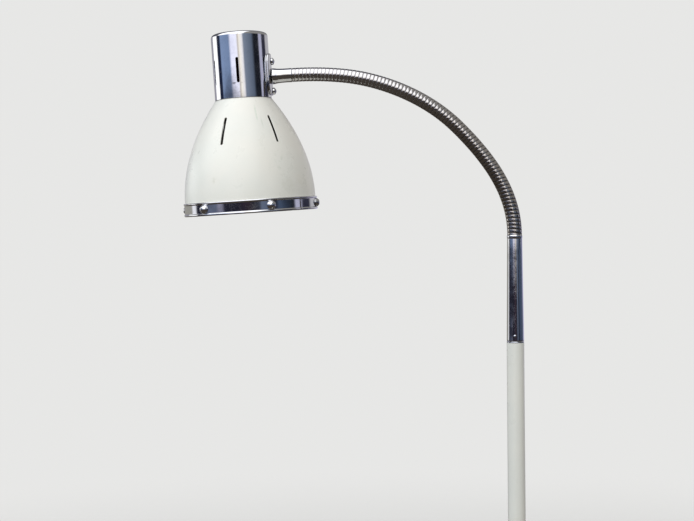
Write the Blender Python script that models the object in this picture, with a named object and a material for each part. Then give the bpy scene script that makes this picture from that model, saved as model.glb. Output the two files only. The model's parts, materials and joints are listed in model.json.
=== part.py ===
"""Adjustable arm floor lamp: a weighted round foot, a steel pole, a bendable neck and a bell shade.

+Z is up and the origin is the centre of the foot's underside. The neck curls over towards -X. It is
made of twelve ball-and-socket links, each hung on an empty at its own joint, and the head hangs on an
empty at the crossing of the neck's axis and the shade's axis.
Lengths are given in millimetres and angles in degrees, and MM turns lengths into metres.
"""

import math

import bmesh
import bpy
from mathutils import Matrix

MM = 0.001
GAP = 0.3  # left between pieces that touch

# Foot
FOOT_RADIUS = 145
FOOT_HEIGHT = 23
FOOT_EDGE = 6  # rounding where the top turns down into the skirt
FOOT_SKIRT_TOP = 17
FELT_RADIUS = 140
FELT_THICK = 3
COVER_WALL = 1.5
NUT_POCKET = (22, 13)  # radius, ceiling height
CORD_HOLE_HEIGHT = 8

# Pole and the sleeve that turns on it
POLE_RADIUS = 10
POLE_WALL = 1.5
POLE_TOP = 1088
SLEEVE_BOTTOM = 1090
SLEEVE_LENGTH = 122
SLEEVE_RADII = (9.9, 8.5)  # bottom, top
SLEEVE_BORE = 7.1
SPIGOT_RADIUS = 6.8
LEAD_RADIUS = 2.8

# Bendable neck
NECK_LENGTH = 350
NECK_RADIUS = 8.5
NECK_BENDS = (13.5, 12, 9.5, 6, 4.5, 9, 8, 7, 7, 7.5, 5, 4.3)
PITCH = NECK_LENGTH / len(NECK_BENDS)
BALL_RADIUS = 6.8
SOCKET_RADIUS = 7.25
SOCKET_LIP = 2.5  # how far the socket wraps past the ball's centre
BALL_NECK = 4.2
SHOULDER = 6.9  # from the ball's centre down to the link's body
NECK_BORE = 3.3
FERRULE_LENGTH = 23

# Head, with heights from the joint between the housing and the shade
HEAD_TURN = -3  # swivel of the head about the neck
NECK_HEIGHT = 25
HOUSING_RADIUS = 32.5
HOUSING_HEIGHT = 75
HOUSING_EDGE = 4
HOUSING_WALL = 1.0
HOUSING_SLOT = (2.3, 19, 48.5)  # width, bottom, top
SADDLE_THICK = 2
SADDLE_SIZE = (31, 51)
SADDLE_SCREW_REACH = 17
NIPPLE_RADIUS = 4.95
SHADE_DEPTH = 115
SHADE_MOUTH = 75.1
SHADE_WALL = 1.2
SHADE_SLOT = (2.6, -53, -23)
RIM_HEIGHT = 15
RIM_RADIUS = 76.9
RIM_WALL = 1.5
RIM_SCREWS = 6
RIM_SCREW_TURN = 22  # from the front towards +X
HOLDER_RADIUS = 19.3
BRACKET_THICK = 1.6
BRACKET_REACH = 28.6
BULB_RADIUS = 30

CHROME = ((0.80, 0.80, 0.80, 1), 0.08, 1.0)
ENAMEL = ((0.78, 0.76, 0.68, 1), 0.30, 0.0)
BAKELITE = ((0.09, 0.035, 0.018, 1), 0.30, 0.0)
STEEL = ((0.48, 0.47, 0.45, 1), 0.35, 1.0)
IRON = ((0.12, 0.12, 0.12, 1), 0.70, 1.0)
BRASS = ((0.72, 0.53, 0.24, 1), 0.28, 1.0)
RUBBER = ((0.03, 0.03, 0.03, 1), 0.75, 0.0)
FELT = ((0.10, 0.14, 0.10, 1), 0.95, 0.0)
GLASS = ((0.92, 0.93, 0.92, 1), 0.25, 0.0)
LEAD = ((0.80, 0.78, 0.72, 1), 0.50, 0.0)


def clear_scene():
    for item in list(bpy.data.objects):
        bpy.data.objects.remove(item, do_unlink=True)


def axis_empty(name, place, turn=(0, 0, 0), parent=None):
    """An empty on a joint's axis, at a place in millimetres and a turn in degrees under its parent."""
    empty = bpy.data.objects.new(name, None)
    bpy.context.scene.collection.objects.link(empty)
    put(empty, parent, place, turn)
    return empty


def put(item, parent, place, turn):
    item.parent = parent
    item.location = [value * MM for value in place]
    item.rotation_euler = [math.radians(value) for value in turn]


def finished(name, shape, finish, parent, place, turn):
    """The object of a bmesh whose lengths are in millimetres, with its own material."""
    bmesh.ops.scale(shape, vec=(MM, MM, MM), verts=shape.verts)
    bmesh.ops.recalc_face_normals(shape, faces=shape.faces)
    mesh = bpy.data.meshes.new(name)
    shape.to_mesh(mesh)
    shape.free()
    mesh.shade_smooth()
    mesh.set_sharp_from_angle(angle=math.radians(35))
    item = bpy.data.objects.new(name, mesh)
    bpy.context.scene.collection.objects.link(item)
    put(item, parent, place, turn)
    if finish:
        mesh.materials.append(painted(name, finish))
    return item


def painted(name, finish):
    colour, roughness, metallic = finish
    material = bpy.data.materials.new(name)
    material.use_nodes = True
    shader = material.node_tree.nodes["Principled BSDF"]
    shader.inputs["Base Color"].default_value = colour
    shader.inputs["Roughness"].default_value = roughness
    shader.inputs["Metallic"].default_value = metallic
    return material


def turned(name, outline, finish, parent=None, place=(0, 0, 0), turn=(0, 0, 0), sides=24):
    """An outline of (radius, height) points turned about Z. One that starts on the axis also ends on it,
    and any other is closed into a ring."""
    shape = bmesh.new()
    points = [shape.verts.new((radius, 0, height)) for radius, height in outline]
    pairs = list(zip(points, points[1:]))
    if outline[0][0] > 0:
        pairs.append((points[-1], points[0]))
    for pair in pairs:
        shape.edges.new(pair)
    around = {"cent": (0, 0, 0), "axis": (0, 0, 1), "angle": math.tau, "steps": sides}
    bmesh.ops.spin(shape, geom=shape.verts[:] + shape.edges[:], **around)
    bmesh.ops.remove_doubles(shape, verts=shape.verts, dist=0.0005)
    return finished(name, shape, finish, parent, place, turn)


def extruded(name, outline, thick, finish, parent=None, place=(0, 0, 0), turn=(0, 0, 0)):
    """A flat outline in the XY plane, extruded by thick, half to each side of the plane."""
    shape = bmesh.new()
    face = shape.faces.new([shape.verts.new((x, y, -thick / 2)) for x, y in outline])
    grown = bmesh.ops.extrude_face_region(shape, geom=[face])["geom"]
    moved = [item for item in grown if isinstance(item, bmesh.types.BMVert)]
    bmesh.ops.translate(shape, verts=moved, vec=(0, 0, thick))
    return finished(name, shape, finish, parent, place, turn)


def arc(centre, radius, first, last, steps):
    """Points of an arc, with angles in degrees from +X (the radius) towards +Y (the height)."""
    angles = [math.radians(first + (last - first) * step / steps) for step in range(steps + 1)]
    return [(centre[0] + radius * math.cos(a), centre[1] + radius * math.sin(a)) for a in angles]


def ring(inner, outer, low, high):
    return [(inner, low), (outer, low), (outer, high), (inner, high)]


def disc(radius, low, high):
    return [(0, low), (radius, low), (radius, high), (0, high)]


def towards(azimuth):
    """The turn about Z that brings +X round to an azimuth, which is 0 at the front (-Y) and 90 at +X."""
    return azimuth - 90


def side_rods(name, parent, spots, radius, start, end):
    """Rods along +X from start to end, one at each (height, turn about Z), as one cutter."""
    shape = bmesh.new()
    for height, turn in spots:
        lie = Matrix.Rotation(math.radians(turn), 4, "Z")
        lie @= Matrix.Translation(((start + end) / 2, 0, height)) @ Matrix.Rotation(math.pi / 2, 4, "Y")
        bmesh.ops.create_cone(
            shape, cap_ends=True, segments=12, radius1=radius, radius2=radius, depth=end - start, matrix=lie
        )
    return finished(name, shape, None, parent, (0, 0, 0), (0, 0, 0))


def side_slots(name, parent, slot, start, end, first):
    """Six upright slots round the axis, each a box along the radius, as one cutter."""
    width, low, high = slot
    shape = bmesh.new()
    for number in range(6):
        lie = Matrix.Rotation(math.radians(towards(first + 60 * number)), 4, "Z")
        lie @= Matrix.Translation(((start + end) / 2, 0, (low + high) / 2))
        lie @= Matrix.Diagonal((end - start, width, high - low, 1))
        bmesh.ops.create_cube(shape, size=1, matrix=lie)
    return finished(name, shape, None, parent, (0, 0, 0), (0, 0, 0))


def cut(item, cutter, operation="DIFFERENCE"):
    cutter.hide_render = True
    cutter.display_type = "WIRE"
    step = item.modifiers.new(cutter.name, "BOOLEAN")
    step.operation = operation
    step.object = cutter


def hex_nut(name, across, thick, bore, parent, place, turn=(0, 0, 0)):
    outline = arc((0, 0), across / math.sqrt(3), 0, 300, 5)
    nut = extruded(name, outline, thick, STEEL, parent, place, turn)
    hole = turned("cut_" + name, disc(bore, -thick, thick), None, parent, place, turn, 16)
    cut(nut, hole)


def foot():
    turned("base_felt", disc(FELT_RADIUS, 0, FELT_THICK), FELT, sides=36)
    inside = FOOT_RADIUS - COVER_WALL
    edge_centre = (FOOT_RADIUS - FOOT_EDGE, FOOT_SKIRT_TOP - FOOT_EDGE)
    cover = [(6, FOOT_HEIGHT), (24, FOOT_HEIGHT), (70, FOOT_HEIGHT - 1.5)]
    cover += arc(edge_centre, FOOT_EDGE, 90, 0, 4)
    cover += [(FOOT_RADIUS, 1), (inside, 1)]
    cover += arc(edge_centre, FOOT_EDGE - COVER_WALL, 0, 90, 3)
    cover += [(70, FOOT_HEIGHT - 1.5 - COVER_WALL), (24, FOOT_HEIGHT - COVER_WALL), (6, FOOT_HEIGHT - COVER_WALL)]
    cover = turned("base_cover", cover, ENAMEL, sides=36)
    cut(cover, side_rods("cut_cord_hole", None, [(CORD_HOLE_HEIGHT, 0)], 4, FOOT_RADIUS - 4, FOOT_RADIUS + 4))
    pocket, ceiling = NUT_POCKET
    under = FELT_THICK + GAP
    top = FOOT_HEIGHT - COVER_WALL - GAP
    weight = [(6, ceiling), (pocket, ceiling), (pocket, under), (134, under), (136, under + 2), (136, 14)]
    weight += [(134, 15), (70, top - 1.5), (24, top), (6, top)]
    weight = turned("base_weight", weight, IRON, sides=36)
    cut(weight, side_rods("cut_cord_way", None, [(CORD_HOLE_HEIGHT, 0)], 3.6, pocket - 4, 140))
    turned("foot_washer", ring(5.3, 14, ceiling - 1.8, ceiling - GAP), STEEL, sides=20)
    hex_nut("foot_nut", 17, 4.5, 5.3, None, (0, 0, ceiling - 1.8 - GAP - 2.25))
    skirt = FOOT_RADIUS + GAP
    groove = -COVER_WALL - 4 * GAP
    bush = [(2.9, -7), (4.6, -7), (4.6, groove), (3.7, groove), (3.7, 0)]
    bush += [(5.4, 0), (4.6, 2.2), (2.9, 2.2)]
    turned("cable_bush", bush, RUBBER, None, (skirt, 0, CORD_HOLE_HEIGHT), (0, 90, 0), 16)


def pole():
    seat = FOOT_HEIGHT + GAP
    inside = POLE_RADIUS - POLE_WALL
    stud_low = NUT_POCKET[1] - 8
    turned("pole_stud", ring(3.4, NIPPLE_RADIUS, stud_low, seat + 32), STEEL, sides=16)
    turned("pole_plug", ring(5.3, inside - GAP, seat, seat + 26), STEEL, sides=20)
    turned("pole", ring(inside, POLE_RADIUS, seat, POLE_TOP), ENAMEL, sides=20)
    collar = [(POLE_RADIUS + GAP, seat), (19, seat), (19, seat + 2.5), (17.5, seat + 5)]
    collar += [(12.5, seat + 11), (12, seat + 14), (POLE_RADIUS + GAP, seat + 14)]
    turned("base_collar", collar, CHROME, sides=24)
    lip = POLE_TOP + GAP
    bush = [(SLEEVE_BORE, POLE_TOP - 38), (inside - GAP, POLE_TOP - 38), (inside - GAP, lip), (POLE_RADIUS, lip)]
    bush += [(POLE_RADIUS, lip + 0.6), (POLE_RADIUS - 0.6, lip + 1.3), (SLEEVE_BORE, lip + 1.3)]
    turned("pole_top_bush", bush, STEEL, sides=20)
    top = SLEEVE_BOTTOM + SLEEVE_LENGTH + 5
    turned("pole_lead", disc(LEAD_RADIUS, stud_low + 4, top), LEAD, sides=10)


def arm_base():
    axis = axis_empty("axis_arm", (0, 0, SLEEVE_BOTTOM))
    low, high = SLEEVE_RADII
    top = SLEEVE_LENGTH
    sleeve = [(SLEEVE_BORE, 0), (low - 0.4, 0), (low, 0.5), (high + 0.05, top - 1.8), (high + 0.4, top - 1.3)]
    sleeve += [(high + 0.4, top - 0.5), (high, top), (SLEEVE_BORE, top)]
    sleeve = turned("lower_sleeve", sleeve, CHROME, axis, sides=20)
    lock_turn = towards(-12)
    cut(sleeve, side_rods("cut_lock_hole", axis, [(6, lock_turn)], 1.5, 5, 12))
    grub = disc(1.15, SPIGOT_RADIUS + GAP, low - 0.25)
    grub = turned("sleeve_grub_screw", grub, STEEL, axis, (0, 0, 6), (0, 90, lock_turn), 10)
    inside = POLE_RADIUS - POLE_WALL - GAP
    spigot = [(4.5, -50), (inside, -50), (inside, -41), (SPIGOT_RADIUS, -41), (SPIGOT_RADIUS, 60), (4.5, 60)]
    turned("sleeve_spigot", spigot, STEEL, axis, sides=20)
    seat = top + GAP
    root = [(NECK_BORE, top - 22), (SPIGOT_RADIUS, top - 22), (SPIGOT_RADIUS, seat), (NECK_RADIUS, seat)]
    root += [(radius, height + top + PITCH / 2) for radius, height in ball_end()]
    turned("neck_root_link", root, CHROME, axis, sides=12)
    return axis


def ball_end():
    """The top of a link, from its shoulder over the ball to the bore, with the ball's centre at 0."""
    leave = -math.degrees(math.acos(BALL_NECK / BALL_RADIUS))
    reach = math.degrees(math.acos(NECK_BORE / BALL_RADIUS))
    points = [(NECK_RADIUS, -SHOULDER), (BALL_NECK, -SHOULDER)]
    return points + arc((0, 0), BALL_RADIUS, leave, reach, 6)


def socket_end():
    """The bottom of a link, from its bore down inside the socket to the lip, with the centre at 0."""
    reach = math.degrees(math.acos(NECK_BORE / SOCKET_RADIUS))
    leave = -math.degrees(math.asin(SOCKET_LIP / SOCKET_RADIUS))
    return arc((0, 0), SOCKET_RADIUS, reach, leave, 4) + [(NECK_RADIUS, -SOCKET_LIP)]


def neck(axis):
    place = SLEEVE_LENGTH + PITCH / 2
    for number, bend in enumerate(NECK_BENDS, 1):
        axis = axis_empty(f"axis_link_{number:02d}", (0, 0, place), (0, -bend, 0), axis)
        place = PITCH
        if number < len(NECK_BENDS):
            end = [(radius, height + PITCH) for radius, height in ball_end()]
        else:
            seat = PITCH / 2
            end = [(NECK_RADIUS, seat), (6.2, seat), (6.2, seat + 9), (NECK_BORE, seat + 9)]
        turned(f"gooseneck_link_{number:02d}", socket_end() + end, CHROME, axis, sides=12)
    return axis


def neck_end(axis):
    """The ferrule and the hollow nipple that the head turns on, with heights along the neck."""
    start = PITCH / 2 + GAP
    end = PITCH / 2 + FERRULE_LENGTH
    crossing = end + GAP + SADDLE_THICK + GAP + HOUSING_RADIUS
    ferrule = [(6.5, start), (NECK_RADIUS, start), (NECK_RADIUS, end - 11), (8.1, end - 9), (8.6, end - 7.4)]
    ferrule += [(9.5, end - 6), (9.75, end - 3.5), (9.5, end - 1), (8.9, end), (NIPPLE_RADIUS + 0.35, end)]
    ferrule += [(NIPPLE_RADIUS + 0.35, end - 12), (6.5, end - 12)]
    turned("neck_ferrule", ferrule, CHROME, axis, sides=16)
    bracket = crossing - BRACKET_REACH + BRACKET_THICK + GAP
    nut_middle = bracket + 1 + GAP + 2.25
    turned("neck_nipple", ring(NECK_BORE, NIPPLE_RADIUS, end - 11, nut_middle + 3), STEEL, axis, sides=16)
    turned("neck_washer", ring(NIPPLE_RADIUS + 0.35, 8, bracket, bracket + 1), STEEL, axis, sides=16)
    hex_nut("neck_locknut", 14, 4.5, NIPPLE_RADIUS + 0.35, axis, (0, 0, nut_middle))
    return axis_empty("axis_head", (0, 0, crossing), (0, 90, HEAD_TURN), axis)


def shade_radius(depth):
    """The bell's outer radius at a depth below the housing: a parabola that ends upright at the mouth."""
    flare = SHADE_MOUTH - HOUSING_RADIUS
    return SHADE_MOUTH - flare * (1 - depth / SHADE_DEPTH) ** 2


def shade_outline(steps=8):
    depths = [SHADE_DEPTH * step / steps for step in range(steps + 1)]
    outer = [(shade_radius(depth), -depth) for depth in depths]
    inner = []
    for depth in depths[1:]:
        slope = 2 * (SHADE_MOUTH - HOUSING_RADIUS) * (1 - depth / SHADE_DEPTH) / SHADE_DEPTH
        length = math.hypot(1, slope)
        inner.append((shade_radius(depth) - SHADE_WALL / length, -depth - SHADE_WALL * slope / length))
    mouth = -SHADE_DEPTH - RIM_HEIGHT + 1.5
    hole = HOLDER_RADIUS + 0.8
    ends = [(SHADE_MOUTH, mouth), (SHADE_MOUTH - SHADE_WALL, mouth)]
    return [(hole, 0)] + outer + ends + inner[::-1] + [(HOUSING_RADIUS, -SHADE_WALL), (hole, -SHADE_WALL)]


def shade(head):
    bell = turned("shade", shade_outline(), ENAMEL, head, sides=30)
    cut(bell, side_slots("cut_shade_slots", head, SHADE_SLOT, 40, 75, -20))
    top = -SHADE_DEPTH
    low = top - RIM_HEIGHT
    inner = RIM_RADIUS - RIM_WALL
    band = [(inner, low + 0.5), (inner + 0.4, low), (RIM_RADIUS - 0.5, low), (RIM_RADIUS, low + 0.6)]
    band += [(RIM_RADIUS, top - 0.6), (RIM_RADIUS - 0.5, top), (inner, top)]
    band = turned("rim_ring", band, CHROME, head, sides=30)
    turns = [towards(RIM_SCREW_TURN + 360 * number / RIM_SCREWS) for number in range(RIM_SCREWS)]
    middle = (low + top) / 2
    holes = side_rods("cut_rim_holes", head, [(middle, turn) for turn in turns], 2.3, 70, 80)
    cut(bell, holes)
    cut(band, holes)
    seat = RIM_RADIUS + GAP
    knob = [(0, 70), (1.9, 70), (1.9, seat), (5.5, seat), (5.4, seat + 0.8), (3.6, seat + 4.2)]
    knob += [(2.6, seat + 5), (0, seat + 5.2)]
    for number, turn in enumerate(turns, 1):
        turned(f"rim_screw_{number}", knob, CHROME, head, (0, 0, middle), (0, 90, turn), 12)


def housing(head):
    inside = HOUSING_RADIUS - HOUSING_WALL
    centre = (HOUSING_RADIUS - HOUSING_EDGE, HOUSING_HEIGHT - HOUSING_EDGE)
    cup = [(0, HOUSING_HEIGHT - HOUSING_WALL)] + arc(centre, HOUSING_EDGE - HOUSING_WALL, 90, 0, 3)
    cup += [(inside, GAP), (HOUSING_RADIUS, GAP)] + arc(centre, HOUSING_EDGE, 0, 90, 4) + [(0, HOUSING_HEIGHT)]
    cup = turned("socket_housing", cup, CHROME, head, sides=30)
    cut(cup, side_slots("cut_housing_slots", head, HOUSING_SLOT, 28, 36, 0))
    plate_low = HOUSING_RADIUS + GAP
    plate_high = plate_low + SADDLE_THICK
    wide, tall = SADDLE_SIZE
    bar = ring(plate_low, plate_high, NECK_HEIGHT - tall, NECK_HEIGHT + tall)
    plate = turned("saddle_plate", bar, CHROME, head, sides=45)
    reach = tall / 2 - wide / 2
    outline = arc((reach, 0), wide / 2, -90, 90, 8) + arc((-reach, 0), wide / 2, 90, 270, 8)
    stamp = extruded("cut_saddle_outline", outline, 20, None, head, (plate_high, 0, NECK_HEIGHT), (0, 90, 0))
    cut(plate, stamp, "INTERSECT")
    screw_heights = [NECK_HEIGHT - SADDLE_SCREW_REACH, NECK_HEIGHT + SADDLE_SCREW_REACH]
    bracket = holder_bracket(head)
    neck_hole = side_rods("cut_neck_hole", head, [(NECK_HEIGHT, 0)], NIPPLE_RADIUS + 0.5, 24, 40)
    screw_holes = side_rods("cut_screw_holes", head, [(height, 0) for height in screw_heights], 2.3, 24, 40)
    for item in (cup, plate, bracket):
        cut(item, neck_hole)
        cut(item, screw_holes)
    seat = plate_high + GAP
    screw = [(0, 25.5), (1.9, 25.5), (1.9, seat), (4, seat), (3.9, seat + 1.2), (2.9, seat + 2.8)]
    screw += [(1.5, seat + 3.6), (0, seat + 3.8)]
    for name, height in zip(("saddle_screw_lower", "saddle_screw_upper"), screw_heights):
        turned(name, screw, CHROME, head, (0, 0, height), (0, 90, 0), 12)


def holder_bracket(head):
    """An angle strip: one leg behind the saddle, the other over the lampholder."""
    out = BRACKET_REACH
    thick = BRACKET_THICK
    outline = [(out, 2.5), (out, 51.6), (-9, 51.6), (-9, 50), (out - thick, 50), (out - thick, 2.5)]
    bracket = extruded("holder_bracket", outline, 18, STEEL, head, (0, 0, 0), (90, 0, 0))
    cut(bracket, turned("cut_holder_hole", disc(2.5, 45, 56), None, head, sides=12))
    return bracket


def lampholder(head):
    out = HOLDER_RADIUS
    body = [(0, 19), (14.5, 19), (14.5, -12), (out, -12), (out, GAP), (22.5, GAP), (22.5, 4), (out, 5)]
    body += [(out, 12), (13, 22), (13, 43), (11, 46.5), (8, 47.5), (2.8, 47.5), (2.8, 37), (0, 37)]
    turned("lampholder_body", body, BAKELITE, head, sides=20)
    under = -SHADE_WALL - GAP
    clamp = [(out + 0.4, under), (26, under), (26, under - 4), (24.5, under - 6.5), (out + 0.4, under - 6.5)]
    turned("shade_ring", clamp, BAKELITE, head, sides=20)
    turned("lampholder_shell", ring(13.4, 14.1, -11, 16), BRASS, head, sides=20)
    turned("lampholder_contact", disc(4, 16.2, 18.6), BRASS, head, sides=12)
    screw = [(0, 38), (2.2, 38), (2.2, 51.9), (4, 51.9), (3.8, 53.4), (2.4, 54.3), (0, 54.5)]
    turned("holder_screw", screw, STEEL, head, sides=12)


def bulb(head):
    """A pear-shaped bulb: a ball of glass below, drawn in to a neck inside its screw cap."""
    centre = -62
    neck_radius = 11.8
    glass = [(neck_radius - 1, 5), (neck_radius, 5), (neck_radius, -16)]
    glass += [(15.8, -30), (20.3, -39)] + arc((0, centre), BULB_RADIUS, 30, -90, 8)
    glass[-1] = (0, centre - BULB_RADIUS)
    inner = arc((0, centre), BULB_RADIUS - 1, -90, 30, 7)
    inner[0] = (0, centre - BULB_RADIUS + 1)
    glass += inner + [(19.4, -39.4), (14.8, -30.4), (neck_radius - 1, -16.4)]
    closing = glass.index((0, centre - BULB_RADIUS))
    glass = glass[closing + 1 :] + glass[: closing + 1]
    turned("bulb_glass", glass, GLASS, head, sides=18)
    cap = [(0, 8), (12.1, 8), (12.1, -12.5), (13, -12.5), (13, 9), (6, 13.5), (4.5, 14), (4.5, 15.5), (0, 15.8)]
    turned("bulb_cap", cap, BRASS, head, sides=20)


def head_lead(head):
    """The flex from the nipple's end up to the side of the lampholder."""
    route = [(24, 25), (20.5, 25), (18.3, 25.8), (17, 27.6), (16.6, 30), (16.6, 35), (16.3, 38)]
    path = bpy.data.curves.new("head_lead", "CURVE")
    path.dimensions = "3D"
    path.bevel_depth = 1.9 * MM
    path.bevel_resolution = 2
    path.use_fill_caps = True
    line = path.splines.new("POLY")
    line.points.add(len(route) - 1)
    for point, (x, height) in zip(line.points, route):
        point.co = (x * MM, 0, height * MM, 1)
    item = bpy.data.objects.new("head_lead", path)
    bpy.context.scene.collection.objects.link(item)
    put(item, head, (0, 0, 0), (0, 0, 0))
    path.materials.append(painted("head_lead", LEAD))


def main():
    clear_scene()
    foot()
    pole()
    arm = arm_base()
    crossing = neck_end(neck(arm))
    head = axis_empty("shade_joint", (0, 0, -NECK_HEIGHT), (0, 0, 0), crossing)
    housing(head)
    shade(head)
    lampholder(head)
    bulb(head)
    head_lead(head)


main()
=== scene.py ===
# Adjustable arm floor lamp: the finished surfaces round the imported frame, the studio and the camera.
import json
import math

import bmesh
import bpy
import numpy as np
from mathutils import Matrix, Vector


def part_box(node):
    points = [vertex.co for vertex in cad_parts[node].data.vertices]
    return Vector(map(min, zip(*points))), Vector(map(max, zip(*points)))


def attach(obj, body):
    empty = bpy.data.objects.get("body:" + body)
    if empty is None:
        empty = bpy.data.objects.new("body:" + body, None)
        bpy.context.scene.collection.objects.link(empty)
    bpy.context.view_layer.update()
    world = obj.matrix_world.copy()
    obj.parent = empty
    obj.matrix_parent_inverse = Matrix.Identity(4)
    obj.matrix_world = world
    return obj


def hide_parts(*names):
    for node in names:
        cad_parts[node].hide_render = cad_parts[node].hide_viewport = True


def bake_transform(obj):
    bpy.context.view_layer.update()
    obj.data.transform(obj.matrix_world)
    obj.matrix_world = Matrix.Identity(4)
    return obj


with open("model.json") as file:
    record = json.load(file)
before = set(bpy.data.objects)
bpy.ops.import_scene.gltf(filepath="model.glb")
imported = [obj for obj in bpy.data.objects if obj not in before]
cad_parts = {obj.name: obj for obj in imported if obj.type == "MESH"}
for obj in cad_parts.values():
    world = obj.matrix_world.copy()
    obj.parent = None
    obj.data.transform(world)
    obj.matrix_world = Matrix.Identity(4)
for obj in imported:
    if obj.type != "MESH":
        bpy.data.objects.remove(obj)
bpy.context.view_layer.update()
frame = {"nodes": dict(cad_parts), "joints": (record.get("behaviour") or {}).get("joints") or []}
joints = {joint["name"]: joint for joint in frame["joints"]}
mm = 0.001  # every shape below is written in millimetres
print("frame loaded:", len(frame["nodes"]), "nodes")


def unit(vector):
    vector = np.array(vector, float)
    return vector / np.linalg.norm(vector)


# degrees that the shade's axis is turned from square to the neck, and millimetres from the neck down to the shade
headStance = {"turn": 3.0, "drop": 25.0}


def headSeat(stance):
    # A seat is where a piece stands: a place and three square axes. Here z is the shade's axis and x runs back
    # along the neck; the origin lies where housing and shade meet.
    back = unit(joints["head_swivel"]["axis"])
    plumb = np.cross(back, (0, 1, 0))
    angle = math.radians(stance["turn"])
    up = plumb * math.cos(angle) + np.cross(back, plumb) * math.sin(angle)
    place = np.array(joints["head_swivel"]["pos_m"]) - stance["drop"] * mm * up
    return place, np.array([back, np.cross(up, back), up])


def sideSeat(seat, azimuth, height):
    # on the side of a round piece: z points straight out at the azimuth, x runs round and y is up
    place, axes = seat
    angle = math.radians(azimuth)
    out = np.array([math.sin(angle), -math.cos(angle), 0]) @ axes
    up = axes[2]
    return place + up * height * mm, np.array([np.cross(up, out), up, out])


standSeat = (np.zeros(3), np.eye(3))
armSeat = (np.array(joints["arm_swivel"]["pos_m"]), np.eye(3))
head = headSeat(headStance)

# where a noise's values mostly lie, and the wider span used for haze
noiseMiddle = (0.3, 0.7)
hazeFrom = (0.3, 0.75)


def addNode(tree, kind, inputs=None, **settings):
    made = tree.nodes.new("ShaderNode" + kind)
    for key, value in settings.items():
        setattr(made, key, value)
    for key, value in (inputs or {}).items():
        if isinstance(value, bpy.types.NodeSocket):
            tree.links.new(value, made.inputs[key])
        else:
            made.inputs[key].default_value = value
    return made


def addNoise(tree, vector, scale, detail, roughness, distortion=0.0):
    inputs = {"Vector": vector, "Scale": scale, "Detail": detail, "Roughness": roughness, "Distortion": distortion}
    return addNode(tree, "TexNoise", inputs).outputs["Fac"]


def addSpan(tree, value, low, high, toLow=0.0, toHigh=1.0):
    inputs = {"Value": value, "From Min": low, "From Max": high, "To Min": toLow, "To Max": toHigh}
    return addNode(tree, "MapRange", inputs, interpolation_type="SMOOTHSTEP").outputs["Result"]


def addBlend(tree, factor, first, second, blendType="MIX"):
    made = addNode(tree, "Mix", data_type="RGBA", blend_type=blendType)
    for index, value in ((0, factor), (6, first), (7, second)):
        if isinstance(value, bpy.types.NodeSocket):
            tree.links.new(value, made.inputs[index])
        else:
            made.inputs[index].default_value = value if index == 0 else (*value, 1)
    return made.outputs[2]


def addProduct(tree, first, second):
    return addNode(tree, "Math", {0: first, 1: second}, operation="MULTIPLY").outputs[0]


def addStretch(tree, vector, scale, turn=(0, 0, 0)):
    inputs = {"Vector": vector, "Scale": scale, "Rotation": [math.radians(value) for value in turn]}
    return addNode(tree, "Mapping", inputs).outputs["Vector"]


def addBump(tree, height, strength, distance, under=None):
    inputs = {"Height": height, "Strength": strength, "Distance": distance * mm}
    if under is not None:
        inputs["Normal"] = under
    return addNode(tree, "Bump", inputs).outputs["Normal"]


def newFinish(name, **constants):
    material = bpy.data.materials.new(name)
    material.use_nodes = True
    tree = material.node_tree
    shader = tree.nodes["Principled BSDF"]
    for key, value in constants.items():
        shader.inputs[key.replace("_", " ")].default_value = value
    spot = tree.nodes.new("ShaderNodeTexCoord").outputs["Object"]
    return material, tree, shader, spot


def metalFinish(name, look):
    # plated or plain metal: dull blotches in its tone, a little haze, and fine hairlines along one direction
    material, tree, shader, spot = newFinish(name, Metallic=1.0)
    blotch = addSpan(tree, addNoise(tree, spot, look["blotchSize"], 5, 0.6, 0.4), *look["blotchFrom"])
    speck = addSpan(tree, addNoise(tree, spot, look["speckSize"], 2, 0.5), *look["speckFrom"])
    tone = addBlend(tree, blotch, look["tone"], look["dull"])
    tone = addBlend(tree, addProduct(tree, speck, look["speckDepth"]), tone, look["speck"])
    haze = addNoise(tree, spot, look["hazeSize"], 4, 0.6)
    hairs = addNoise(tree, addStretch(tree, spot, look["hairs"]), 1.0, 3, 0.6)
    tree.links.new(tone, shader.inputs["Base Color"])
    tree.links.new(addSpan(tree, haze, *hazeFrom, *look["rough"]), shader.inputs["Roughness"])
    wave = addBump(tree, addNoise(tree, spot, look["waveSize"], 2, 0.5), look["wave"], look["waveTall"])
    tree.links.new(addBump(tree, hairs, look["hairDepth"], look["hairTall"], wave), shader.inputs["Normal"])
    return material


chromeLook = {
    "tone": (0.82, 0.83, 0.85), "dull": (0.66, 0.66, 0.66), "blotchSize": 38, "blotchFrom": (0.5, 0.8),
    "speck": (0.30, 0.24, 0.17), "speckSize": 900, "speckFrom": (0.66, 0.74), "speckDepth": 0.35,
    "rough": (0.045, 0.14), "hazeSize": 70, "hairs": (60, 60, 1400), "hairDepth": 0.12, "hairTall": 0.02,
    "waveSize": 45, "wave": 0.12, "waveTall": 0.3,
}
steelLook = dict(
    chromeLook, tone=(0.52, 0.51, 0.49), dull=(0.38, 0.36, 0.33), speckDepth=0.5, rough=(0.24, 0.46),
    hairs=(900, 900, 60), hairDepth=0.4,
)
bushLook = dict(chromeLook, rough=(0.10, 0.22), tone=(0.80, 0.83, 0.88))
brassLook = dict(
    chromeLook, tone=(0.74, 0.55, 0.26), dull=(0.45, 0.30, 0.13), speck=(0.16, 0.10, 0.05), rough=(0.2, 0.42),
)
ironLook = dict(
    chromeLook, tone=(0.11, 0.11, 0.11), dull=(0.16, 0.12, 0.09), speck=(0.26, 0.13, 0.07), speckSize=260,
    rough=(0.55, 0.85), waveSize=420, wave=0.6, hairDepth=0.0, blotchSize=24,
)


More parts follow.
